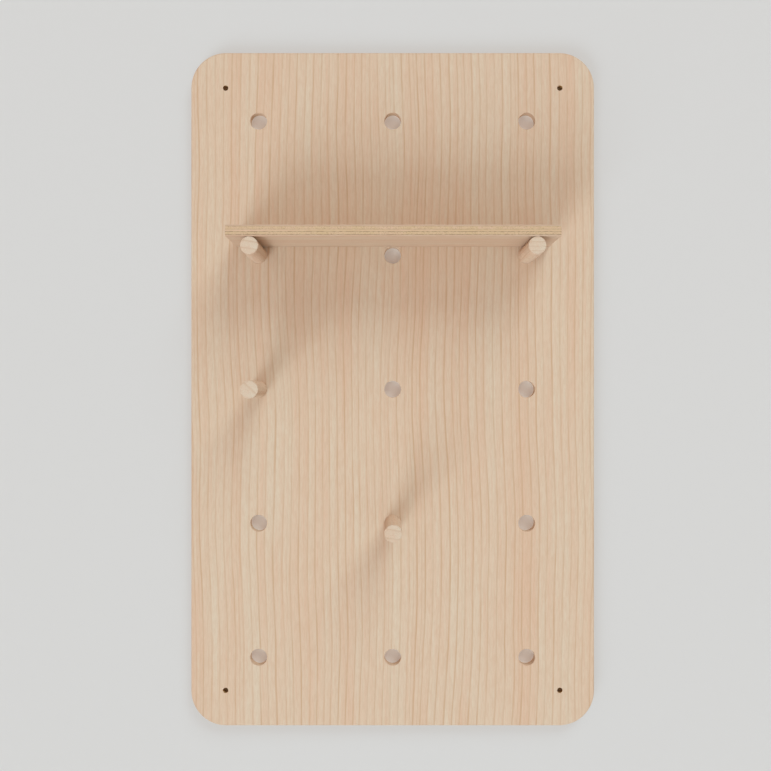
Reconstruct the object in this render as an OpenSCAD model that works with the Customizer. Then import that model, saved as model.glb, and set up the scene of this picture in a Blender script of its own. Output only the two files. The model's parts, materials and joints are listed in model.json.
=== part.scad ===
/* [Panel] */
// Number of peg hole columns
columns = 3; // [3:1:7]
// Number of peg hole rows
rows = 5; // [4:1:9]
// Distance between neighbouring peg holes
pitch = 150; // [110:5:250]
// Distance from the outer columns of peg holes to the panel's sides
side_margin = 75.5; // [65:0.5:120]
// Distance from the top and bottom rows of peg holes to the panel's ends
end_margin = 76.5; // [65:0.5:120]
// Thickness of the plywood panel
panel_t = 12; // [9:1:21]
// Radius of the panel's four corners
corner_r = 39; // [5:1:50]

/* [Wall screws] */
// Diameter of the four screw holes
screw_hole_d = 6; // [3:0.5:8]
// How far each screw hole lies out from its corner peg hole, sideways and endways
screw_out = 37; // [30:1:40]

/* [Pegs] */
// Diameter of a dowel peg
peg_d = 18.7; // [12:0.1:28]
// Gap all round a peg in its hole, so that it pushes in by hand
peg_play = 0.05; // [0.01:0.01:0.1]
// How far a peg stands out in front of the panel
peg_reach = 80; // [40:1:150]
// Width of the sanded edge round both ends of a peg
peg_chamfer = 0.6; // [0.2:0.1:2]
// Row of the hanging peg in the left column, counted from the top
left_peg_row = 3; // [3:1:4]
// Row of the hanging peg in the middle column, counted from the top
centre_peg_row = 4; // [3:1:4]

/* [Shelf] */
// How far the shelf board reaches past the middle of each peg that carries it
shelf_overhang = 25; // [10:1:50]
// Thickness of the shelf board
shelf_t = 12; // [6:1:21]
// Row of the two pegs that carry the shelf, counted from the top
shelf_row = 2; // [1:1:2]
// Gap that keeps the loose shelf clear of its pegs
shelf_lift_gap = 0.1; // [0.1:0.1:0.5]
// Gap that keeps the loose shelf clear of the panel
shelf_back_gap = 0.3; // [0.1:0.1:1]

/* [Hidden] */
$fn = 96;

panel_w = (columns - 1) * pitch + 2 * side_margin;
panel_h = (rows - 1) * pitch + 2 * end_margin;
peg_hole_d = peg_d + 2 * peg_play;
left_column = 1;
centre_column = ceil(columns / 2);
right_column = columns;
shelf_w = (right_column - left_column) * pitch + 2 * shelf_overhang;
// The shelf's front edge is level with the ends of its pegs
shelf_d = peg_reach - shelf_back_gap;
// Extra length that carries a drill past both faces
drill_past = 1;
plywood = [0.85, 0.75, 0.64];
dowel = [0.88, 0.78, 0.68];

// Centre of a hole, with columns counted from the left and rows from the top
function hole_x(column) = (column - (columns + 1) / 2) * pitch;
function hole_z(row) = ((rows + 1) / 2 - row) * pitch;

// A rectangle with true arcs at its corners
module rounded_rectangle(w, h, r) {
    square([w - 2 * r, h], center = true);
    square([w, h - 2 * r], center = true);
    for (sx = [-1, 1], sy = [-1, 1])
        translate([sx * (w / 2 - r), sy * (h / 2 - r)]) circle(r);
}

// A drill that goes through the panel from back to front
module drill(x, z, d) {
    translate([x, drill_past, z])
        rotate([90, 0, 0]) cylinder(d = d, h = panel_t + 2 * drill_past);
}

// The panel stands on the wall plane Y = 0 and faces -Y
module pegboard_panel() {
    color(plywood)
        difference() {
            rotate([90, 0, 0])
                linear_extrude(panel_t) rounded_rectangle(panel_w, panel_h, corner_r);
            for (column = [1 : columns], row = [1 : rows])
                drill(hole_x(column), hole_z(row), peg_hole_d);
            for (sx = [-1, 1], sz = [-1, 1])
                drill(
                    sx * (hole_x(columns) + screw_out),
                    sz * (hole_z(1) + screw_out),
                    screw_hole_d
                );
        }
}

// A plain dowel that fills its hole's depth and stands out in front,
// with the same small chamfer at both ends
module peg(column, row) {
    length = panel_t + peg_reach;
    end_d = peg_d - 2 * peg_chamfer;
    color(dowel)
        translate([hole_x(column), 0, hole_z(row)])
            rotate([90, 0, 0]) {
                cylinder(d1 = end_d, d2 = peg_d, h = peg_chamfer);
                translate([0, 0, peg_chamfer])
                    cylinder(d = peg_d, h = length - 2 * peg_chamfer);
                translate([0, 0, length - peg_chamfer])
                    cylinder(d1 = peg_d, d2 = end_d, h = peg_chamfer);
            }
}

// The loose board lies on its two pegs with its back edge along the panel
module shelf_board() {
    color(plywood)
        translate([
            -shelf_w / 2,
            -panel_t - peg_reach,
            hole_z(shelf_row) + peg_d / 2 + shelf_lift_gap
        ])
            cube([shelf_w, shelf_d, shelf_t]);
}

module shelf_peg_left() {
    peg(left_column, shelf_row);
}

module shelf_peg_right() {
    peg(right_column, shelf_row);
}

module hanging_peg_left() {
    peg(left_column, left_peg_row);
}

module hanging_peg_centre() {
    peg(centre_column, centre_peg_row);
}

pegboard_panel();
shelf_board();
shelf_peg_left();
shelf_peg_right();
hanging_peg_left();
hanging_peg_centre();
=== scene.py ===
"""A pine plywood pegboard panel for a wall, with four dowel pegs and a loose shelf board.

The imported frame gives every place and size. Each piece here is a surface worked out from a formula, takes the
place of one frame node and rides on that node's body.
"""

import json
import math

import bpy
import numpy as np
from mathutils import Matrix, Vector
from mathutils.geometry import delaunay_2d_cdt


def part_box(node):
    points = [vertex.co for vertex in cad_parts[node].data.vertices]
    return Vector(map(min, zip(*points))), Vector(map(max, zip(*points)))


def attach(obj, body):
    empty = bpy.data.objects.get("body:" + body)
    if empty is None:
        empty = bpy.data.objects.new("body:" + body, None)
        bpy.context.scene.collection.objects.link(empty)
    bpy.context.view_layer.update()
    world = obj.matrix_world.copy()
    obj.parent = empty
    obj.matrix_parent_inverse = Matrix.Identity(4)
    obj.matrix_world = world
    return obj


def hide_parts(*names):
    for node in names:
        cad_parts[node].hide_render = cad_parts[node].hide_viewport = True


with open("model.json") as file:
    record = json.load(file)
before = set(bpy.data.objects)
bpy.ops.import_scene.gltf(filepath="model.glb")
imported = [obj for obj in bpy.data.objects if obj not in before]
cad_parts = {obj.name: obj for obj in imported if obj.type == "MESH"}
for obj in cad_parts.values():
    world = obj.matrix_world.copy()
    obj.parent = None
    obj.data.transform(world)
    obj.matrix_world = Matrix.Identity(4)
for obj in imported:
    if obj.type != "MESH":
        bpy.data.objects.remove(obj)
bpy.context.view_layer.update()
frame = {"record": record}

bl_info = {
    "name": "Wall pegboard",
    "version": (1, 0, 0),
    "blender": (4, 5, 0),
    "location": "3D View > Sidebar > Pegboard",
    "description": "Builds a pine plywood pegboard panel with dowel pegs, a shelf board and a plain studio",
    "category": "Add Mesh",
}

MM = 0.001
# Marks that tell a peg hole's wall from a screw hole's
PEG_HOLE, SCREW_HOLE = 1, 2
PEG_NODES = ("shelf_peg_left", "shelf_peg_right", "hanging_peg_left", "hanging_peg_centre")
MOUNTS = {mount["name"]: mount for mount in frame["record"]["mounts"]}


# ---------------------------------------------------------------- settings


class PegboardShape(bpy.types.PropertyGroup):
    """Sizes of the sanded edges and corners, which the frame's boxes don't give."""

    corner_radius: bpy.props.FloatProperty(
        name="Corner radius", description="Radius of the panel's four corners",
        default=39 * MM, min=5 * MM, unit="LENGTH")
    panel_arris: bpy.props.FloatProperty(
        name="Panel arris", description="Radius of the sanded edge round the panel's outline",
        default=1.5 * MM, min=0.1 * MM, unit="LENGTH")
    hole_arris: bpy.props.FloatProperty(
        name="Hole arris", description="Radius of the sanded edge round every drilled hole",
        default=0.05 * MM, min=0.02 * MM, unit="LENGTH")
    shelf_arris: bpy.props.FloatProperty(
        name="Shelf arris", description="Radius of the sanded edges of the shelf board",
        default=0.25 * MM, min=0.1 * MM, unit="LENGTH")
    peg_arris: bpy.props.FloatProperty(
        name="Peg arris", description="Radius of the sanded edge round both ends of a peg",
        default=0.6 * MM, min=0.1 * MM, unit="LENGTH")
    worn_band: bpy.props.FloatProperty(
        name="Worn band", description="Width of the band beside an edge that sanding and handling reach",
        default=1.5 * MM, min=0.5 * MM, unit="LENGTH")


class PegboardWood(bpy.types.PropertyGroup):
    """Grain sizes and colours of the pine."""

    ring_width: bpy.props.FloatProperty(
        name="Ring width", description="Mean distance between two dark growth lines",
        default=8.9 * MM, min=1 * MM, unit="LENGTH")
    face_ply: bpy.props.FloatProperty(
        name="Face ply", description="Thickness of each outer ply",
        default=1.7 * MM, min=0.3 * MM, unit="LENGTH")
    early_wood: bpy.props.FloatVectorProperty(
        name="Early wood", description="Pale cream wood between the growth lines",
        subtype="COLOR", size=3, min=0, max=1, default=(0.723, 0.600, 0.456))
    warm_wood: bpy.props.FloatVectorProperty(
        name="Warm wood", description="Pinker wood in the warm bands",
        subtype="COLOR", size=3, min=0, max=1, default=(0.717, 0.504, 0.357))
    late_wood: bpy.props.FloatVectorProperty(
        name="Late wood", description="Reddish tan wood of the growth lines",
        subtype="COLOR", size=3, min=0, max=1, default=(0.589, 0.380, 0.230))
    core_wood: bpy.props.FloatVectorProperty(
        name="Core wood", description="Yellower wood of the inner plies",
        subtype="COLOR", size=3, min=0, max=1, default=(0.645, 0.482, 0.274))
    # Painted shade: the shelf's face plies are drawn darker, for its shaded underside
    shelf_shade_tone: bpy.props.FloatVectorProperty(
        name="Shelf shade tone", description="Painted shade: how much darker the shelf's face veneer is drawn than the panel's",
        subtype="COLOR", size=3, min=0, max=1, default=(0.87, 0.82, 0.795))
    peg_end_tone: bpy.props.FloatVectorProperty(
        name="Peg end tone", description="How much cooler a dowel's sawn end is than the panel's face",
        subtype="COLOR", size=3, min=0, max=2, default=(1.0, 1.06, 1.11))
    # Painted shade: a dowel's side is drawn darker and warmer than its end
    peg_side_shade_tone: bpy.props.FloatVectorProperty(
        name="Peg side shade tone", description="Painted shade: how much darker a dowel's side is drawn than the panel's face",
        subtype="COLOR", size=3, min=0, max=2, default=(0.94, 0.90, 0.89))
    hole_wood: bpy.props.FloatVectorProperty(
        name="Hole wood", description="Pale cut wood inside the peg holes",
        subtype="COLOR", size=3, min=0, max=1, default=(0.760, 0.560, 0.420))
    # Painted shade: the wood inside the narrow, deep screw holes is drawn dark
    painted_screw_bore_shade: bpy.props.FloatVectorProperty(
        name="Screw bore painted shade", description="Painted shade on the wood inside the narrow screw holes",
        subtype="COLOR", size=3, min=0, max=1, default=(0.490, 0.290, 0.115))
    glue: bpy.props.FloatVectorProperty(
        name="Glue line", description="Brown glue between two plies",
        subtype="COLOR", size=3, min=0, max=1, default=(0.300, 0.190, 0.110))


class PegboardStudio(bpy.types.PropertyGroup):
    """The wall, the lamps and the camera."""

    wall: bpy.props.FloatVectorProperty(
        name="Wall", description="Share of the lamps' light that the open wall gives back",
        subtype="COLOR", size=3, min=0, max=1, default=(0.302, 0.299, 0.293))
    # Painted warm bounce light: behind the panel the wall takes its own paler, warmer paint, which stands for
    # light bounced off the wood
    covered_wall_warm_bounce: bpy.props.FloatVectorProperty(
        name="Covered wall warm bounce", description="Colour of the wall behind the panel, with painted warm bounce light from the wood",
        subtype="COLOR", size=3, min=0, max=1, default=(0.830, 0.795, 0.755))
    floor: bpy.props.FloatVectorProperty(
        name="Floor", description="Colour of the plain floor",
        subtype="COLOR", size=3, min=0, max=1, default=(0.760, 0.760, 0.750))
    wall_glow: bpy.props.FloatProperty(
        name="Wall glow", description="Even light given off by the wall, like a lit paper backdrop",
        default=0.38, min=0)
    covered_glow: bpy.props.FloatProperty(
        name="Covered glow", description="The same light behind the panel, where little of it gets in",
        default=0.115, min=0)
    # Painted shade of the deep screw holes: a dark patch on the wall behind each, which also glows this colour
    painted_screw_hole_shade: bpy.props.FloatVectorProperty(
        name="Screw hole painted shade", description="Painted shade of the deep screw holes, a dark patch on the wall behind each",
        subtype="COLOR", size=3, min=0, max=1, default=(0.070, 0.038, 0.014))
    upper_lamp: bpy.props.FloatProperty(
        name="Upper lamp", description="Strength of the soft lamp above and to the right",
        default=1.43, min=0)
    upper_tint: bpy.props.FloatVectorProperty(
        name="Upper tint", description="Colour of the upper lamp, a little cool",
        subtype="COLOR", size=3, min=0, max=1, default=(0.72, 0.92, 1.0))
    lower_lamp: bpy.props.FloatProperty(
        name="Lower lamp", description="Strength of the soft lamp below and to the left",
        default=1.55, min=0)
    lower_tint: bpy.props.FloatVectorProperty(
        name="Lower tint", description="Colour of the lower lamp, a little cool",
        subtype="COLOR", size=3, min=0, max=1, default=(0.75, 0.89, 1.0))
    surroundings: bpy.props.FloatProperty(
        name="Surroundings", description="Strength of the even light from all round",
        default=0.56, min=0)
    surroundings_tint: bpy.props.FloatVectorProperty(
        name="Surroundings tint", description="Colour of the even light, a little warm",
        subtype="COLOR", size=3, min=0, max=1, default=(1.0, 0.78, 0.67))
    camera_distance: bpy.props.FloatProperty(
        name="Camera distance", description="From the camera to the panel's front face",
        default=1.124, min=0.2, unit="LENGTH")
    lens: bpy.props.FloatProperty(
        name="Lens", description="Focal length on a 36 mm wide sensor, in millimetres",
        default=46.9, min=10)


# ---------------------------------------------------------------- surfaces


def rounded_path(width, height, radius, arc_steps, run_steps):
    """Closed anticlockwise path round a rectangle, and the normals that point out of it.

    Each corner is a quarter circle, centre + radius (cos t, sin t), and each side is the straight line from
    one corner's end to the next corner's start.
    """
    quarter = np.linspace(0, np.pi / 2, arc_steps + 1)
    turn = quarter[None] + np.arange(4)[:, None] * np.pi / 2
    normal = np.stack([np.cos(turn), np.sin(turn)], -1)
    side = np.array([[1, 1], [-1, 1], [-1, -1], [1, -1]])
    centre = side * (np.array([width, height]) / 2 - radius)
    arc = centre[:, None] + radius * normal
    along = np.linspace(0, 1, run_steps + 2)[1:-1][None, :, None]
    run = arc[:, -1:] * (1 - along) + np.roll(arc[:, :1], -1, 0) * along
    run_normal = np.repeat(normal[:, -1:], run_steps, 1)
    path = np.concatenate([arc, run], 1).reshape(-1, 2)
    return path, np.concatenate([normal, run_normal], 1).reshape(-1, 2)


def hole_path(centre, radius, steps):
    """Clockwise circle round a hole, centre + radius (cos t, sin t), with normals into the empty hole."""
    turn = -np.arange(steps) * 2 * np.pi / steps
    spoke = np.stack([np.cos(turn), np.sin(turn)], -1)
    return np.asarray(centre) + radius * spoke, -spoke


def sanded_edge(depth, arris, band, round_steps=5, wall_steps=6):
    """Profile across an edge of a board: how far in from the path, how far down, and how worn.

    A flat band leads to a quarter circle of radius arris, then the straight wall, and the same again at the
    back. Wear is 1 on the rounded part and falls to 0 across the band and into the wall.
    """
    a = np.linspace(0, np.pi / 2, round_steps + 1)
    inset = np.concatenate([[arris + band, arris + band / 3], arris * (1 - np.sin(a))])
    down = np.concatenate([[0, 0], arris * (1 - np.cos(a))])
    worn = np.concatenate([[0, 0.35], np.ones(round_steps + 1)])
    wall = np.linspace(arris, depth - arris, wall_steps + 2)[1:-1]
    flat = np.zeros(wall_steps)
    return (
        np.concatenate([inset, flat, inset[::-1]]),
        np.concatenate([down, wall, depth - down[::-1]]),
        np.concatenate([worn, flat, worn[::-1]]),
    )


def ring_quads(rows, count, first, outward):
    """Quads between neighbouring rows of a grid whose every row closes on itself."""
    here = np.arange(count)
    there = (here + 1) % count
    row = first + np.arange(rows - 1)[:, None] * count
    loop = [row + here, row + count + here, row + count + there, row + there]
    return np.stack(loop if outward else loop[::-1], -1).reshape(-1, 4)


def fill_face(loops):
    """Triangles of the flat region inside the first loop and outside the others, as indexes into the points.

    A triangle whose three corners lie on one hole's loop spans that hole, and is left out.
    """
    points = np.concatenate(loops)
    edges, first = [], 0
    for loop in loops:
        index = first + np.arange(len(loop))
        edges += np.stack([index, np.roll(index, -1)], -1).tolist()
        first += len(loop)
    made = delaunay_2d_cdt((points / MM).tolist(), edges, [], 1, 1e-5)
    source = np.array([olds[0] for olds in made[3]])
    triangles = source[np.array(made[2])]
    owner = np.repeat(np.arange(len(loops)), [len(loop) for loop in loops])[triangles]
    spans_hole = (owner[:, 0] > 0) & (owner[:, 0] == owner[:, 1]) & (owner[:, 0] == owner[:, 2])
    triangles = triangles[~spans_hole]
    corners = points[triangles]
    one, two = corners[:, 1] - corners[:, 0], corners[:, 2] - corners[:, 0]
    back_to_front = one[:, 0] * two[:, 1] - one[:, 1] * two[:, 0] < 0
    triangles[back_to_front] = triangles[back_to_front, ::-1]
    return triangles


def new_piece(name, points, faces, marks, material, node, body):
    """Makes a mesh object at the origin from whole arrays, in place of a frame node. Marks belong to points."""
    mesh = bpy.data.meshes.new(name)
    mesh.from_pydata(points.tolist(), [], faces)
    mesh.polygons.foreach_set("use_smooth", np.ones(len(mesh.polygons), bool))
    for label, values in marks.items():
        mesh.attributes.new(label, "FLOAT", "POINT").data.foreach_set("value", values.astype(np.float32))
    mesh.materials.append(material)
    mesh.update()
    if mesh.validate():
        raise RuntimeError(f"{name} has faulty faces")
    piece = bpy.data.objects.new(name, mesh)
    bpy.context.scene.collection.objects.link(piece)
    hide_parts(node)
    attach(piece, body)


def board(
        name, middle, across, up, thickness, outline, holes, arris, hole_arris, band,
        material, node, body):
    """A flat board: an edge profile carried round its outline and round each hole, with flat faces between.

    A point of a rim is path - inset * normal in the plane of the board and lies at the profile's depth under
    the face. across x up points out of the face, and middle is the face's middle. A hole has a centre, a
    radius, a number of steps round and the mark that its wall gets.
    """
    down = -np.cross(across, up)
    loops, rims, worn, cut, quads, first = [], [], [], [], [], 0
    paths = [(*outline, arris, band, 0)]
    for centre, radius, steps, mark in holes:
        paths.append((*hole_path(centre, radius, steps), hole_arris, band / 2, mark))
    for path, normal, radius, width, mark in paths:
        inset, depth, wear = sanded_edge(thickness, radius, width)
        flat = path[None] - inset[:, None, None] * normal[None]
        rim = flat[..., :1] * across + flat[..., 1:] * up + depth[:, None, None] * down
        rims.append(rim.reshape(-1, 3))
        worn.append(np.repeat(wear, len(path)))
        cut.append(np.repeat(mark * (inset <= 0), len(path)))
        quads.append(ring_quads(len(depth), len(path), first, True))
        loops.append((flat[0], first, (len(depth) - 1) * len(path)))
        first += len(depth) * len(path)
    triangles = fill_face([loop for loop, _, _ in loops])
    front = np.concatenate([start + np.arange(len(loop)) for loop, start, _ in loops])
    back = np.concatenate([start + last + np.arange(len(loop)) for loop, start, last in loops])
    faces = np.concatenate(quads).tolist() + front[triangles].tolist() + back[triangles][:, ::-1].tolist()
    points = np.asarray(middle) + np.concatenate(rims)
    marks = {"edge_wear": np.concatenate(worn), "drilled": np.concatenate(cut)}
    new_piece(name, points, faces, marks, material, node, body)


def dowel(
        name, lowest, highest, arris, material, node, body, around=64, round_steps=5, length_steps=24):
    """A round peg along Y: a surface of revolution, (x, z) = axis + r (cos t, sin t), from back end to front.

    The radius r grows from the middle of the back end to the rim, rounds over by a quarter circle, stays
    level along the barrel and does the same at the front. A point closes each end.
    """
    radius = (highest[0] - lowest[0]) / 2
    length = highest[1] - lowest[1]
    a = np.linspace(0, np.pi / 2, round_steps + 1)
    flat = np.array([0.25, 0.5, 0.75, 0.9])
    end_r = np.concatenate([radius * flat - arris, radius - arris * (1 - np.sin(a))])
    end_s = np.concatenate([0 * flat, arris * (1 - np.cos(a))])
    end_wear = np.concatenate([0.3 * (flat > 0.8), np.ones(round_steps + 1)])
    end_grain = np.concatenate([np.ones(len(flat) + round_steps), [0]])
    barrel = np.linspace(arris, length - arris, length_steps + 2)[1:-1]
    r = np.concatenate([end_r, np.full(length_steps, radius), end_r[::-1]])
    s = np.concatenate([end_s, barrel, length - end_s[::-1]])
    wear = np.concatenate([end_wear, np.zeros(length_steps), end_wear[::-1]])
    sawn = np.concatenate([end_grain, np.zeros(length_steps), end_grain[::-1]])
    turn = np.arange(around) * 2 * np.pi / around
    centre = (lowest + highest) / 2
    grid = np.stack([
        centre[0] + r[:, None] * np.cos(turn),
        highest[1] - s[:, None] + 0 * turn,
        centre[2] + r[:, None] * np.sin(turn),
    ], -1).reshape(-1, 3)
    ends = np.array([[centre[0], highest[1], centre[2]], [centre[0], lowest[1], centre[2]]])
    here = np.arange(around)
    there = (here + 1) % around
    last = (len(r) - 1) * around
    back_end, front_end = len(grid), len(grid) + 1
    back = np.stack([np.full(around, back_end), there, here], -1)
    front = np.stack([np.full(around, front_end), last + here, last + there], -1)
    faces = ring_quads(len(r), around, 0, False).tolist() + back.tolist() + front.tolist()
    marks = {
        "edge_wear": np.concatenate([np.repeat(wear, around), [0, 0]]),
        "end_grain": np.concatenate([np.repeat(sawn, around), [1, 1]]),
    }
    new_piece(name, np.concatenate([grid, ends]), faces, marks, material, node, body)


# ---------------------------------------------------------------- shader helpers


def add(tree, kind, inputs=(), **settings):
    """Adds a shader node. inputs pairs a socket's name or number with a value or with a socket to link."""
    made = tree.nodes.new(kind)
    for name, value in settings.items():
        setattr(made, name, value)
    for socket, value in dict(inputs).items():
        if isinstance(value, bpy.types.NodeSocket):
            tree.links.new(value, made.inputs[socket])
        else:
            made.inputs[socket].default_value = value
    return made


def calc(tree, operation, *values):
    """A Math node's result."""
    return add(tree, "ShaderNodeMath", enumerate(values), operation=operation).outputs[0]


def smooth(tree, value, low, high, start=0.0, stop=1.0):
    """A smooth step from start to stop as value goes from low to high."""
    made = add(
        tree, "ShaderNodeMapRange",
        {"Value": value, "From Min": low, "From Max": high, "To Min": start, "To Max": stop},
        interpolation_type="SMOOTHSTEP")
    return made.outputs["Result"]


def scaled(tree, vector, x, y, z):
    """The vector with each part multiplied, which sets a pattern's size each way."""
    return add(tree, "ShaderNodeVectorMath", {0: vector, 1: (x, y, z)}, operation="MULTIPLY").outputs[0]


def noise(tree, vector, detail=2.0, roughness=0.5):
    """Soft noise from 0 to 1, about one blotch per unit."""
    made = add(
        tree, "ShaderNodeTexNoise",
        {"Vector": vector, "Scale": 1.0, "Detail": detail, "Roughness": roughness})
    return made.outputs["Fac"]


def blend(tree, amount, one, two, kind="MIX"):
    """Two colours mixed by an amount from 0 to 1."""
    made = add(tree, "ShaderNodeMix", data_type="RGBA", blend_type=kind, clamp_factor=True)
    for socket, value in ((made.inputs[0], amount), (made.inputs[6], one), (made.inputs[7], two)):
        if isinstance(value, bpy.types.NodeSocket):
            tree.links.new(value, socket)
        else:
            socket.default_value = value
    return made.outputs[2]


def new_group(name, inputs, outputs):
    """An empty shader group with named sockets, and its input and output nodes."""
    tree = bpy.data.node_groups.new(name, "ShaderNodeTree")
    for label, kind, default in inputs:
        socket = tree.interface.new_socket(label, in_out="INPUT", socket_type=f"NodeSocket{kind}")
        if default is not None:
            socket.default_value = default
    for label, kind in outputs:
        tree.interface.new_socket(label, in_out="OUTPUT", socket_type=f"NodeSocket{kind}")
    return tree, tree.nodes.new("NodeGroupInput"), tree.nodes.new("NodeGroupOutput")


def use(tree, group, inputs):
    """Places a shader group and returns its outputs."""
    made = tree.nodes.new("ShaderNodeGroup")
    made.node_tree = group
    for socket, value in inputs.items():
        if isinstance(value, bpy.types.NodeSocket):
            tree.links.new(value, made.inputs[socket])
        else:
            made.inputs[socket].default_value = value
    return made.outputs


def rgba(colour):
    """A colour with full cover, as a shader socket wants it."""
    return (*colour, 1.0)


def point_mark(tree, name):
    """The value of a mesh's point attribute."""
    return add(tree, "ShaderNodeAttribute", attribute_name=name, attribute_type="GEOMETRY").outputs["Fac"]


def empty_material(name):
    """A material with no nodes, and its tree."""
    material = bpy.data.materials.new(name)
    material.use_nodes = True
    material.node_tree.nodes.clear()
    return material, material.node_tree


# ---------------------------------------------------------------- shared wood effects


def growth_rings_group():
    """Growth lines of softwood. Grain is a vector with X across the lines and Z along the fibres, in metres.

    The distance across is bent by slow noise and stretched unevenly, then cut into rings. Within each ring
    the late wood darkens slowly and ends at a sharp line, and every ring has its own strength and tone.
    """
    tree, given, result = new_group(
        "Growth rings",
        [("Grain", "Vector", None), ("Ring width", "Float", 0.0089), ("Wander", "Float", 0.030),
         ("Unevenness", "Float", 0.006), ("Seed", "Float", 0.0)],
        [("Late wood", "Float"), ("Ring tone", "Float"), ("Relief", "Float")])
    grain = given.outputs["Grain"]
    seed = given.outputs["Seed"]
    placed = add(tree, "ShaderNodeVectorMath", {0: grain, 1: (0.37, 0.11, 0.73)}, operation="ADD").outputs[0]
    across = add(tree, "ShaderNodeSeparateXYZ", {0: grain}).outputs["X"]
    slow = calc(tree, "SUBTRACT", noise(tree, scaled(tree, placed, 5.0, 5.0, 3.2), 1.0), 0.5)
    quick = calc(tree, "SUBTRACT", noise(tree, scaled(tree, placed, 30.0, 30.0, 14.0), 2.0), 0.5)
    bend = calc(tree, "MULTIPLY", slow, given.outputs["Wander"])
    ripple = calc(tree, "MULTIPLY", quick, 0.0022)
    bent = calc(tree, "ADD", calc(tree, "ADD", across, bend), ripple)
    along = calc(tree, "MULTIPLY", bent, 34.0)
    stretch_at = add(tree, "ShaderNodeCombineXYZ", {"X": along, "Y": seed}).outputs[0]
    stretch = calc(tree, "SUBTRACT", noise(tree, stretch_at, 1.0), 0.5)
    uneven = calc(tree, "MULTIPLY", stretch, given.outputs["Unevenness"])
    phase = calc(tree, "DIVIDE", calc(tree, "ADD", bent, uneven), given.outputs["Ring width"])
    phase = calc(tree, "ADD", phase, seed)
    ring = calc(tree, "FLOOR", phase)
    within = calc(tree, "FRACT", phase)
    own = add(tree, "ShaderNodeTexWhiteNoise", {"W": ring}, noise_dimensions="1D")
    own_parts = add(tree, "ShaderNodeSeparateXYZ", {0: own.outputs["Color"]})
    rise = smooth(tree, within, 0.66, 0.90)
    fall = smooth(tree, within, 0.90, 1.0, 1.0, 0.0)
    line = calc(tree, "MULTIPLY", rise, fall)
    false_line = calc(
        tree, "MULTIPLY",
        calc(tree, "MULTIPLY", smooth(tree, within, 0.32, 0.44), smooth(tree, within, 0.44, 0.51, 1.0, 0.0)),
        smooth(tree, own_parts.outputs["Z"], 0.72, 0.95, 0.0, 0.45))
    patchy = smooth(tree, noise(tree, scaled(tree, placed, 90.0, 90.0, 16.0), 2.0), 0.3, 0.65, 0.55, 1.0)
    strength = smooth(tree, own_parts.outputs["X"], 0.0, 1.0, 0.52, 0.88)
    dark = calc(tree, "MULTIPLY", calc(tree, "MULTIPLY", line, strength), patchy)
    dark = calc(tree, "MAXIMUM", dark, calc(tree, "MULTIPLY", false_line, patchy))
    shade = calc(tree, "MULTIPLY", calc(tree, "POWER", within, 2.0), 0.16)
    shade = calc(tree, "MULTIPLY", shade, fall)
    late = calc(tree, "MAXIMUM", dark, shade)
    tree.links.new(late, result.inputs["Late wood"])
    tree.links.new(own_parts.outputs["Y"], result.inputs["Ring tone"])
    tree.links.new(line, result.inputs["Relief"])
    return tree


def wood_fibres_group():
    """Fine streaks along the fibres and slow changes of tone. Cut across, the same fibres show as specks."""
    tree, given, result = new_group(
        "Wood fibres",
        [("Grain", "Vector", None), ("Fineness", "Float", 1.0)],
        [("Streaks", "Float"), ("Fine shade", "Float"), ("Specks", "Float"), ("Slow tone", "Float")])
    sized = add(
        tree, "ShaderNodeVectorMath", {0: given.outputs["Grain"], "Scale": given.outputs["Fineness"]},
        operation="SCALE").outputs[0]
    thin = noise(tree, scaled(tree, sized, 900.0, 900.0, 60.0), 3.0, 0.6)
    broad = noise(tree, scaled(tree, sized, 380.0, 380.0, 9.0), 2.0, 0.6)
    streaks = calc(tree, "ADD", calc(tree, "MULTIPLY", thin, 0.5), calc(tree, "MULTIPLY", broad, 0.5))
    fine = noise(tree, scaled(tree, sized, 800.0, 800.0, 110.0), 2.0, 0.6)
    shade = smooth(tree, fine, 0.38, 0.66, 0.0, 0.22)
    specks = smooth(tree, noise(tree, scaled(tree, sized, 850.0, 850.0, 90.0), 2.0), 0.52, 0.68)
    slow = noise(tree, scaled(tree, given.outputs["Grain"], 42.0, 42.0, 3.0), 2.0)
    tree.links.new(streaks, result.inputs["Streaks"])
    tree.links.new(shade, result.inputs["Fine shade"])
    tree.links.new(specks, result.inputs["Specks"])
    tree.links.new(slow, result.inputs["Slow tone"])
    return tree


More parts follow.
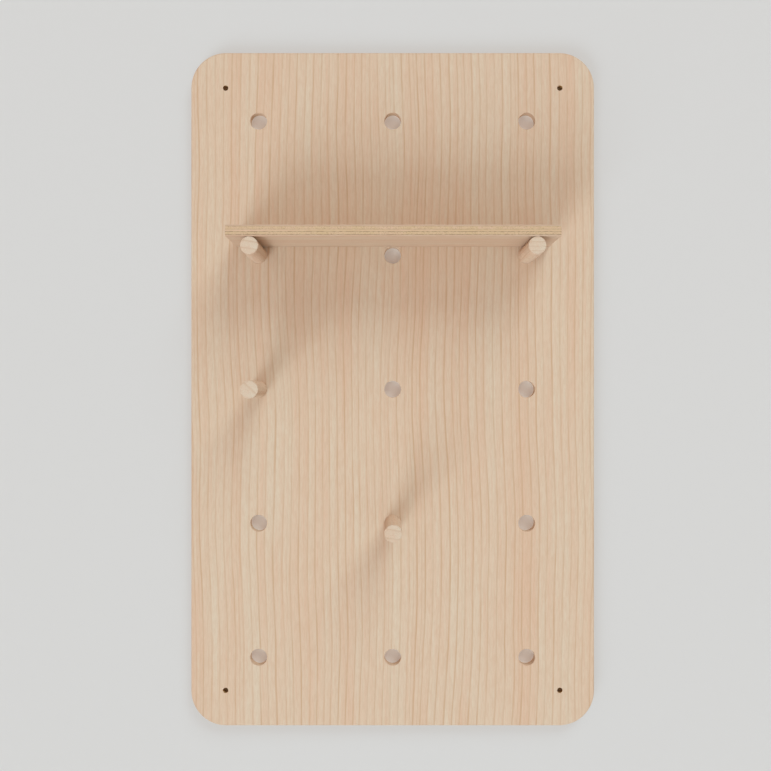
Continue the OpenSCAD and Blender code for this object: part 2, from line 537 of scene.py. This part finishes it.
def ply_layers_group():
    """Five plies through a board. Depth runs from 0 at one face to 1 at the other.

    The face share is the part of the thickness that one outer ply takes, and the stack is symmetric. The glue
    between two plies is a thin line, broken up by noise and fainter towards the first face.
    """
    tree, given, result = new_group(
        "Ply layers",
        [("Depth", "Float", 0.0), ("Position", "Vector", None), ("Face share", "Float", 0.117)],
        [("Face ply", "Float"), ("Cross ply", "Float"), ("Glue", "Float"), ("Ply tone", "Float")])
    sway = noise(tree, scaled(tree, given.outputs["Position"], 22.0, 22.0, 22.0), 2.0)
    sway = calc(tree, "MULTIPLY", calc(tree, "SUBTRACT", sway, 0.5), 0.035)
    depth = calc(tree, "SUBTRACT", given.outputs["Depth"], 0.5)
    out = calc(tree, "ABSOLUTE", calc(tree, "ADD", depth, sway))
    face_edge = calc(tree, "SUBTRACT", 0.5, given.outputs["Face share"])
    core_edge = calc(tree, "DIVIDE", face_edge, 3.5)
    face = calc(tree, "GREATER_THAN", out, face_edge)
    inner = calc(tree, "LESS_THAN", out, core_edge)
    cross = calc(tree, "SUBTRACT", calc(tree, "SUBTRACT", 1.0, face), inner)
    outer_line = calc(tree, "ABSOLUTE", calc(tree, "SUBTRACT", out, face_edge))
    inner_line = calc(tree, "ABSOLUTE", calc(tree, "SUBTRACT", out, core_edge))
    nearest = calc(tree, "MINIMUM", outer_line, inner_line)
    broken = noise(tree, scaled(tree, given.outputs["Position"], 420.0, 420.0, 420.0), 2.0)
    glue = smooth(tree, nearest, 0.008, 0.036, 1.0, 0.0)
    glue = calc(tree, "MULTIPLY", glue, smooth(tree, broken, 0.38, 0.6, 0.42, 1.0))
    glue = calc(tree, "MULTIPLY", glue, smooth(tree, depth, -0.2, 0.12, 0.45, 1.0))
    side = calc(tree, "MULTIPLY", calc(tree, "SIGN", depth), cross)
    own = add(
        tree, "ShaderNodeTexWhiteNoise",
        {"W": calc(tree, "ADD", calc(tree, "MULTIPLY", side, 3.0), inner)}, noise_dimensions="1D")
    tree.links.new(face, result.inputs["Face ply"])
    tree.links.new(cross, result.inputs["Cross ply"])
    tree.links.new(glue, result.inputs["Glue"])
    tree.links.new(own.outputs["Value"], result.inputs["Ply tone"])
    return tree


def pine_colour_group():
    """Mixes early, warm and late wood from the masks of the other groups."""
    tree, given, result = new_group(
        "Pine colour",
        [("Early wood", "Color", None), ("Warm wood", "Color", None), ("Late wood colour", "Color", None),
         ("Late wood", "Float", 0.0), ("Ring tone", "Float", 0.5), ("Streaks", "Float", 0.5),
         ("Slow tone", "Float", 0.5), ("Fine shade", "Float", 0.0), ("Specks", "Float", 0.0)],
        [("Colour", "Color")])
    by_ring = calc(tree, "MULTIPLY", given.outputs["Ring tone"], 0.35)
    by_place = calc(tree, "MULTIPLY", given.outputs["Slow tone"], 1.3)
    by_streak = calc(tree, "MULTIPLY", calc(tree, "SUBTRACT", given.outputs["Streaks"], 0.5), 2.4)
    warmth = calc(tree, "ADD", calc(tree, "ADD", by_ring, by_place), by_streak)
    warmth = calc(tree, "SUBTRACT", warmth, 0.35)
    base = blend(tree, warmth, given.outputs["Early wood"], given.outputs["Warm wood"])
    base = blend(tree, given.outputs["Fine shade"], base, given.outputs["Late wood colour"])
    lined = blend(tree, given.outputs["Late wood"], base, given.outputs["Late wood colour"])
    speck = calc(tree, "MULTIPLY", given.outputs["Specks"], 0.32)
    done = blend(tree, speck, lined, given.outputs["Late wood colour"])
    tree.links.new(done, result.inputs["Colour"])
    return tree


def sanded_edges_group():
    """How far sanding and handling have reached in from the edges, broken up by noise."""
    tree, given, result = new_group("Sanded edges", [("Position", "Vector", None)], [("Wear", "Float")])
    edge = point_mark(tree, "edge_wear")
    rough = noise(tree, scaled(tree, given.outputs["Position"], 420.0, 420.0, 420.0), 3.0)
    wear = calc(tree, "MULTIPLY", edge, smooth(tree, rough, 0.3, 0.62, 0.25, 1.0))
    tree.links.new(wear, result.inputs["Wear"])
    return tree


# ---------------------------------------------------------------- materials


def wood_groups():
    """The shared effects, built once."""
    makers = {
        "Growth rings": growth_rings_group,
        "Wood fibres": wood_fibres_group,
        "Ply layers": ply_layers_group,
        "Pine colour": pine_colour_group,
        "Sanded edges": sanded_edges_group,
    }
    return {name: bpy.data.node_groups.get(name) or make() for name, make in makers.items()}


def reordered(tree, vector, order):
    """The vector's parts in another order, so that X lies across the growth lines and Z along the fibres."""
    parts = add(tree, "ShaderNodeSeparateXYZ", {0: vector}).outputs
    return add(tree, "ShaderNodeCombineXYZ", {n: parts[axis] for n, axis in enumerate(order)}).outputs[0]


def worn_colour(tree, place, colour, wood):
    """The colour, a little darker where the edges are worn."""
    wear = use(tree, wood_groups()["Sanded edges"], {"Position": place})["Wear"]
    return blend(tree, calc(tree, "MULTIPLY", wear, 0.08), colour, rgba(wood.late_wood))


def wood_relief(tree, rings, fibres):
    """Height of the sanded surface: the growth lines stand proud and the streaks roughen it."""
    return calc(tree, "ADD", calc(tree, "MULTIPLY", rings["Relief"], 0.5), fibres["Streaks"])


def bare_wood(tree, colour, streaks, height, depth):
    """The shader of bare sanded wood, duller where the streaks are, with its relief of the given depth."""
    rough = smooth(tree, streaks, 0.3, 0.7, 0.58, 0.72)
    bump = add(tree, "ShaderNodeBump", {"Height": height, "Strength": 0.6, "Distance": depth})
    shader = add(
        tree, "ShaderNodeBsdfPrincipled",
        {"Base Color": colour, "Roughness": rough, "Specular IOR Level": 0.28, "Normal": bump.outputs[0]})
    out = tree.nodes.new("ShaderNodeOutputMaterial")
    tree.links.new(shader.outputs[0], out.inputs["Surface"])


def plywood_material(name, wood, face, back, thickness_axis, long_order, cross_order, seed, tone):
    """Pine plywood: the face plies' growth lines, and the stack of plies wherever the board is cut.

    The depth from face to back picks the ply. Each ply is the same wood, turned a quarter round from its
    neighbour, so a cut edge shows long grain and end grain in turn. The two orders name the axis across the
    growth lines first and the axis along the fibres last, for the long plies and for the cross plies.
    """
    groups = wood_groups()
    material, tree = empty_material(name)
    place = add(tree, "ShaderNodeTexCoord").outputs["Object"]
    through = add(tree, "ShaderNodeSeparateXYZ", {0: place}).outputs[thickness_axis]
    depth = add(
        tree, "ShaderNodeMapRange",
        {"Value": through, "From Min": float(face), "From Max": float(back)}, clamp=False).outputs["Result"]
    face_share = wood.face_ply / abs(float(back) - float(face))
    plies = use(tree, groups["Ply layers"], {"Depth": depth, "Position": place, "Face share": face_share})
    grain = add(tree, "ShaderNodeMix", {0: plies["Cross ply"]}, data_type="VECTOR")
    tree.links.new(reordered(tree, place, long_order), grain.inputs[4])
    tree.links.new(reordered(tree, place, cross_order), grain.inputs[5])
    grain = grain.outputs[1]
    rings = use(tree, groups["Growth rings"], {"Grain": grain, "Ring width": wood.ring_width, "Seed": seed})
    fibres = use(tree, groups["Wood fibres"], {"Grain": grain})
    long_grain = calc(tree, "SUBTRACT", 1.0, calc(tree, "MULTIPLY", plies["Cross ply"], 0.85))
    masks = {
        "Late wood": calc(tree, "MULTIPLY", rings["Late wood"], long_grain), "Ring tone": rings["Ring tone"],
        "Streaks": fibres["Streaks"], "Slow tone": fibres["Slow tone"], "Fine shade": fibres["Fine shade"],
    }
    face_colour = use(tree, groups["Pine colour"], {
        "Early wood": rgba(wood.early_wood), "Warm wood": rgba(wood.warm_wood),
        "Late wood colour": rgba(wood.late_wood), **masks})["Colour"]
    core_colour = use(tree, groups["Pine colour"], {
        "Early wood": rgba(wood.core_wood), "Warm wood": rgba(wood.warm_wood),
        "Late wood colour": rgba(wood.late_wood), "Specks": fibres["Specks"], **masks})["Colour"]
    even = calc(tree, "MULTIPLY", plies["Ply tone"], 0.35)
    core_colour = blend(tree, even, core_colour, rgba(wood.core_wood))
    pores = calc(tree, "MULTIPLY", calc(tree, "MULTIPLY", fibres["Specks"], plies["Cross ply"]), 0.35)
    core_colour = blend(tree, pores, core_colour, rgba(wood.glue))
    # The given tone darkens the face plies; for the shelf it is painted shade
    face_colour = blend(tree, 1.0, face_colour, rgba(tone), "MULTIPLY")
    colour = blend(tree, plies["Face ply"], core_colour, face_colour)
    colour = blend(tree, plies["Glue"], colour, rgba(wood.glue))
    colour = worn_colour(tree, place, colour, wood)
    drilled = point_mark(tree, "drilled")
    colour = blend(tree, calc(tree, "MULTIPLY", drilled, 0.55), colour, rgba(wood.hole_wood))
    # Painted shade on the walls of the screw holes
    colour = blend(tree, calc(tree, "SUBTRACT", drilled, PEG_HOLE), colour, rgba(wood.painted_screw_bore_shade))
    relief = wood_relief(tree, rings, fibres)
    relief = calc(tree, "SUBTRACT", relief, calc(tree, "MULTIPLY", plies["Glue"], 0.4))
    bare_wood(tree, colour, fibres["Streaks"], relief, 0.12 * MM)
    return material


def dowel_material(name, wood, centre, turned, ring_width, seed):
    """A pine dowel: growth lines show as bands on its end and as streaks along its side."""
    groups = wood_groups()
    material, tree = empty_material(name)
    place = add(tree, "ShaderNodeTexCoord").outputs["Object"]
    turned_place = add(
        tree, "ShaderNodeMapping",
        {"Vector": place, "Location": tuple(centre), "Rotation": (0.0, turned, 0.0)},
        vector_type="TEXTURE").outputs[0]
    grain = reordered(tree, turned_place, "ZXY")
    rings = use(tree, groups["Growth rings"], {
        "Grain": grain, "Ring width": ring_width, "Wander": 0.002, "Unevenness": 0.003, "Seed": seed})
    fibres = use(tree, groups["Wood fibres"], {"Grain": grain})
    colour = use(tree, groups["Pine colour"], {
        "Early wood": rgba(wood.early_wood), "Warm wood": rgba(wood.warm_wood),
        "Late wood colour": rgba(wood.late_wood), "Late wood": rings["Late wood"],
        "Ring tone": rings["Ring tone"], "Streaks": fibres["Streaks"], "Slow tone": fibres["Slow tone"],
        "Fine shade": fibres["Fine shade"], "Specks": fibres["Specks"]})["Colour"]
    # The sides take a darker tone as painted shade; the sawn ends take their own cooler tone
    tone = blend(tree, point_mark(tree, "end_grain"), rgba(wood.peg_side_shade_tone), rgba(wood.peg_end_tone))
    colour = blend(tree, 1.0, colour, tone, "MULTIPLY")
    colour = worn_colour(tree, place, colour, wood)
    bare_wood(tree, colour, fibres["Streaks"], wood_relief(tree, rings, fibres), 0.1 * MM)
    return material


# ---------------------------------------------------------------- the pieces


def screw_offsets():
    """How far the wall screws lie from the middle of the panel, sideways and upwards."""
    spacing = MOUNTS["wall_screws"]["dims"]
    return spacing["spacing_x_mm"] / 2 * MM, spacing["spacing_y_mm"] / 2 * MM


class PEGBOARD_OT_make_panel(bpy.types.Operator):
    """Build the plywood panel with its peg holes and screw holes"""

    bl_idname = "pegboard.make_panel"
    bl_label = "Make panel"

    def execute(self, context):
        shape, wood = context.scene.pegboard_shape, context.scene.pegboard_wood
        low, high = (np.array(corner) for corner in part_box("pegboard_panel"))
        width, thickness, height = high - low
        bores = [mount for mount in MOUNTS.values() if mount["kind"] == "bore"]
        if not bores:
            raise RuntimeError("the record states no peg holes")
        peg_hole_r = bores[0]["dims"]["r_mm"] * MM
        screw_hole_r = MOUNTS["wall_screws"]["dims"]["hole_r_mm"] * MM
        middles = [mount["pos_m"] for mount in bores] + [np.add(*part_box(node)) / 2 for node in PEG_NODES]
        holes = [(np.array([middle[0], middle[2]]), peg_hole_r, 64, PEG_HOLE) for middle in middles]
        for side in ((-1, -1), (-1, 1), (1, -1), (1, 1)):
            holes.append((np.multiply(side, screw_offsets()), screw_hole_r, 32, SCREW_HOLE))
        material = plywood_material(
            "Panel pine plywood", wood, low[1], high[1], "Y", "XYZ", "ZYX", 0.0, (1.0, 1.0, 1.0))
        board(
            "plywood_panel", (0, low[1], 0), np.array([1, 0, 0]), np.array([0, 0, 1]), thickness,
            rounded_path(width, height, shape.corner_radius, 24, 40), holes, shape.panel_arris,
            shape.hole_arris, shape.worn_band, material, "pegboard_panel", "panel")
        return {"FINISHED"}


class PEGBOARD_OT_make_shelf(bpy.types.Operator):
    """Build the loose plywood shelf board"""

    bl_idname = "pegboard.make_shelf"
    bl_label = "Make shelf"

    def execute(self, context):
        shape, wood = context.scene.pegboard_shape, context.scene.pegboard_wood
        low, high = (np.array(corner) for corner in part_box("shelf_board"))
        width, depth, thickness = high - low
        middle = (low + high) / 2
        # The shelf's tone is painted shade on its faces
        material = plywood_material(
            "Shelf pine plywood", wood, high[2], low[2], "Z", "YZX", "XZY", 17.3, wood.shelf_shade_tone)
        arris = shape.shelf_arris
        board(
            "plywood_shelf", (middle[0], middle[1], high[2]), np.array([1, 0, 0]), np.array([0, 1, 0]),
            thickness, rounded_path(width, depth, 2.5 * arris, 4, 24), [], arris, shape.hole_arris,
            1.2 * arris, material, "shelf_board", "shelf")
        return {"FINISHED"}


class PEGBOARD_OT_make_pegs(bpy.types.Operator):
    """Build the four dowel pegs"""

    bl_idname = "pegboard.make_pegs"
    bl_label = "Make pegs"

    def execute(self, context):
        shape, wood = context.scene.pegboard_shape, context.scene.pegboard_wood
        # How far each dowel's growth lines are turned, and the distance between them
        turned = dict(zip(PEG_NODES, (7, -2, 40, 8)))
        ring_width = dict(zip(PEG_NODES, (7.5, 4.5, 11, 9)))
        for number, node in enumerate(PEG_NODES):
            low, high = (np.array(corner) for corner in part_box(node))
            seed = 5.3 + 7.7 * number
            material = dowel_material(
                f"Pine dowel {node.replace('_', ' ')}", wood, (low + high) / 2, math.radians(turned[node]),
                ring_width[node] * MM, seed)
            dowel(f"dowel_{node}", low, high, shape.peg_arris, material, node, node)
        return {"FINISHED"}


# ---------------------------------------------------------------- the studio


def plain_sheet(name, corners, material):
    """One flat stage surface from four corners, in the order that faces it the right way."""
    mesh = bpy.data.meshes.new(name)
    mesh.from_pydata(corners, [], [(0, 1, 2, 3)])
    mesh.materials.append(material)
    sheet = bpy.data.objects.new(name, mesh)
    bpy.context.scene.collection.objects.link(sheet)
    return sheet


def wall_material(studio, gap):
    """Matt paint that is seen only from the front.

    Light passes it from behind and across the thin gap to the panel, so that the panel's back is lit when it is
    looked at. Behind the panel the paint glows less, as painted shade, and is a paler, warmer paint, as painted
    warm bounce light from the wood. A dark patch behind each screw hole is painted shade of the deep screw
    hole, and it glows a faint dark brown. Only the camera sees the patches, so they don't darken the panel's
    back. The covered wall ends at their outer edges.
    """
    material, tree = empty_material("Wall paint")
    place = add(tree, "ShaderNodeSeparateXYZ", {0: add(tree, "ShaderNodeTexCoord").outputs["Object"]}).outputs
    sideways, upwards = calc(tree, "ABSOLUTE", place["X"]), calc(tree, "ABSOLUTE", place["Z"])
    screw_x, screw_z = screw_offsets()
    patch = 12 * MM
    covered = calc(
        tree, "MULTIPLY",
        calc(tree, "LESS_THAN", sideways, screw_x + patch), calc(tree, "LESS_THAN", upwards, screw_z + patch))
    corner = calc(
        tree, "MULTIPLY",
        calc(tree, "GREATER_THAN", sideways, screw_x - patch),
        calc(tree, "GREATER_THAN", upwards, screw_z - patch))
    path = add(tree, "ShaderNodeLightPath").outputs
    # Painted shade of the deep screw holes, seen only by the camera
    screw_shade_patch = calc(tree, "MULTIPLY", calc(tree, "MULTIPLY", covered, corner), path["Is Camera Ray"])
    # Behind the panel a warmer paint: painted warm bounce light from the wood
    paint = blend(tree, covered, rgba(studio.wall), rgba(studio.covered_wall_warm_bounce))
    paint = blend(tree, screw_shade_patch, paint, rgba(studio.painted_screw_hole_shade))
    matt = add(tree, "ShaderNodeBsdfDiffuse", {"Color": paint}).outputs[0]
    # The glow is lower behind the panel: painted shade where little light gets in
    strength = smooth(tree, covered, 0.0, 1.0, studio.wall_glow, studio.covered_glow)
    # Over each patch the glow takes the patch's dark brown: painted shade of the screw hole
    strength = smooth(tree, screw_shade_patch, 0.0, 1.0, strength, 1.0)
    shine = blend(tree, screw_shade_patch, (1.0, 1.0, 0.985, 1.0), rgba(studio.painted_screw_hole_shade))
    glow = add(tree, "ShaderNodeEmission", {"Color": shine, "Strength": strength}).outputs[0]
    paint = add(tree, "ShaderNodeAddShader", {0: matt, 1: glow}).outputs[0]
    clear = add(tree, "ShaderNodeBsdfTransparent").outputs[0]
    behind = add(tree, "ShaderNodeNewGeometry").outputs["Backfacing"]
    near = calc(tree, "LESS_THAN", path["Ray Length"], 2 * gap)
    seen_through = calc(tree, "MAXIMUM", behind, near)
    mixed = add(tree, "ShaderNodeMixShader", {0: seen_through, 1: paint, 2: clear})
    out = tree.nodes.new("ShaderNodeOutputMaterial")
    tree.links.new(mixed.outputs[0], out.inputs["Surface"])
    return material


def floor_material(studio):
    """Pale matt floor."""
    material = bpy.data.materials.new("Floor paint")
    material.use_nodes = True
    shader = material.node_tree.nodes["Principled BSDF"]
    shader.inputs["Base Color"].default_value = rgba(studio.floor)
    shader.inputs["Roughness"].default_value = 0.9
    return material


def soft_lamp(name, towards, strength, angle_deg, tint):
    """A large soft lamp, far off in the direction given, as seen from the panel."""
    light = bpy.data.lights.new(name, "SUN")
    light.energy = strength
    light.color = tint
    light.angle = math.radians(angle_deg)
    lamp = bpy.data.objects.new(name, light)
    direction = np.array(towards) / np.linalg.norm(towards)
    lamp.rotation_euler = Vector(direction).to_track_quat("Z", "Y").to_euler()
    bpy.context.scene.collection.objects.link(lamp)


def studio_world(studio):
    """Even pale surroundings, brighter behind the wall so that the back of the panel is lit.

    The tint and the strength are those of the light on the object. The camera sees a plain pale grey instead.
    """
    behind_wall, backdrop = 0.85, 0.67
    world = bpy.data.worlds.new("Studio")
    bpy.context.scene.world = world
    world.use_nodes = True
    tree = world.node_tree
    tree.nodes.clear()
    direction = add(tree, "ShaderNodeTexCoord").outputs["Generated"]
    way = add(tree, "ShaderNodeSeparateXYZ", {0: direction}).outputs["Y"]
    lit = smooth(tree, way, 0.0, 0.4, studio.surroundings, behind_wall)
    seen = add(tree, "ShaderNodeLightPath").outputs["Is Camera Ray"]
    strength = add(tree, "ShaderNodeMix", {0: seen, 2: lit, 3: backdrop}, data_type="FLOAT").outputs[0]
    neutral = calc(tree, "MAXIMUM", seen, smooth(tree, way, 0.0, 0.4))
    colour = blend(tree, neutral, rgba(studio.surroundings_tint), (1.0, 1.0, 0.99, 1.0))
    back = add(tree, "ShaderNodeBackground", {"Color": colour, "Strength": strength})
    out = tree.nodes.new("ShaderNodeOutputWorld")
    tree.links.new(back.outputs[0], out.inputs["Surface"])


class PEGBOARD_OT_make_stage(bpy.types.Operator):
    """Build the wall, floor, lamps and camera"""

    bl_idname = "pegboard.make_stage"
    bl_label = "Make stage"

    def execute(self, context):
        studio = context.scene.pegboard_studio
        context.scene.view_settings.view_transform = "Standard"
        gap, reach, drop, rise = 0.4 * MM, 6.0, -1.3, 4.0
        aside, above, lamp_spread = -8.06 * MM, 4.14 * MM, 32
        plain_sheet(
            "wall", [(-reach, gap, drop), (reach, gap, drop), (reach, gap, rise), (-reach, gap, rise)],
            wall_material(studio, gap))
        floor = plain_sheet(
            "floor",
            [(-reach, -reach, drop), (reach, -reach, drop), (reach, reach, drop), (-reach, reach, drop)],
            floor_material(studio))
        floor.visible_shadow = False
        soft_lamp(
            "upper_right_lamp", (0.356, -0.553, 0.753), studio.upper_lamp, lamp_spread, studio.upper_tint)
        soft_lamp(
            "lower_left_lamp", (-0.456, -0.502, -0.735), studio.lower_lamp, lamp_spread, studio.lower_tint)
        studio_world(studio)
        camera = bpy.data.objects.new("camera", bpy.data.cameras.new("camera"))
        camera.data.sensor_width = 36.0
        camera.data.lens = studio.lens
        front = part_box("pegboard_panel")[0][1]
        camera.location = (aside, front - studio.camera_distance, above)
        camera.rotation_euler = (math.pi / 2, 0.0, 0.0)
        context.scene.collection.objects.link(camera)
        context.scene.camera = camera
        return {"FINISHED"}


# ---------------------------------------------------------------- add-on


class PEGBOARD_PT_parts(bpy.types.Panel):
    """Buttons that build the pegboard and its studio"""

    bl_idname = "PEGBOARD_PT_parts"
    bl_label = "Pegboard"
    bl_space_type = "VIEW_3D"
    bl_region_type = "UI"
    bl_category = "Pegboard"

    def draw(self, context):
        for operator in OPERATORS:
            self.layout.operator(operator.bl_idname)


OPERATORS = (PEGBOARD_OT_make_stage, PEGBOARD_OT_make_panel, PEGBOARD_OT_make_shelf, PEGBOARD_OT_make_pegs)
SETTINGS = {"pegboard_shape": PegboardShape, "pegboard_wood": PegboardWood, "pegboard_studio": PegboardStudio}


def register():
    for item in (*SETTINGS.values(), *OPERATORS, PEGBOARD_PT_parts):
        bpy.utils.register_class(item)
    for name, group in SETTINGS.items():
        setattr(bpy.types.Scene, name, bpy.props.PointerProperty(type=group))


def unregister():
    for name in SETTINGS:
        delattr(bpy.types.Scene, name)
    for item in (PEGBOARD_PT_parts, *reversed(OPERATORS), *SETTINGS.values()):
        bpy.utils.unregister_class(item)


def main():
    register()
    bpy.ops.pegboard.make_stage()
    bpy.ops.pegboard.make_panel()
    bpy.ops.pegboard.make_shelf()
    bpy.ops.pegboard.make_pegs()


if __name__ == "__main__":
    main()
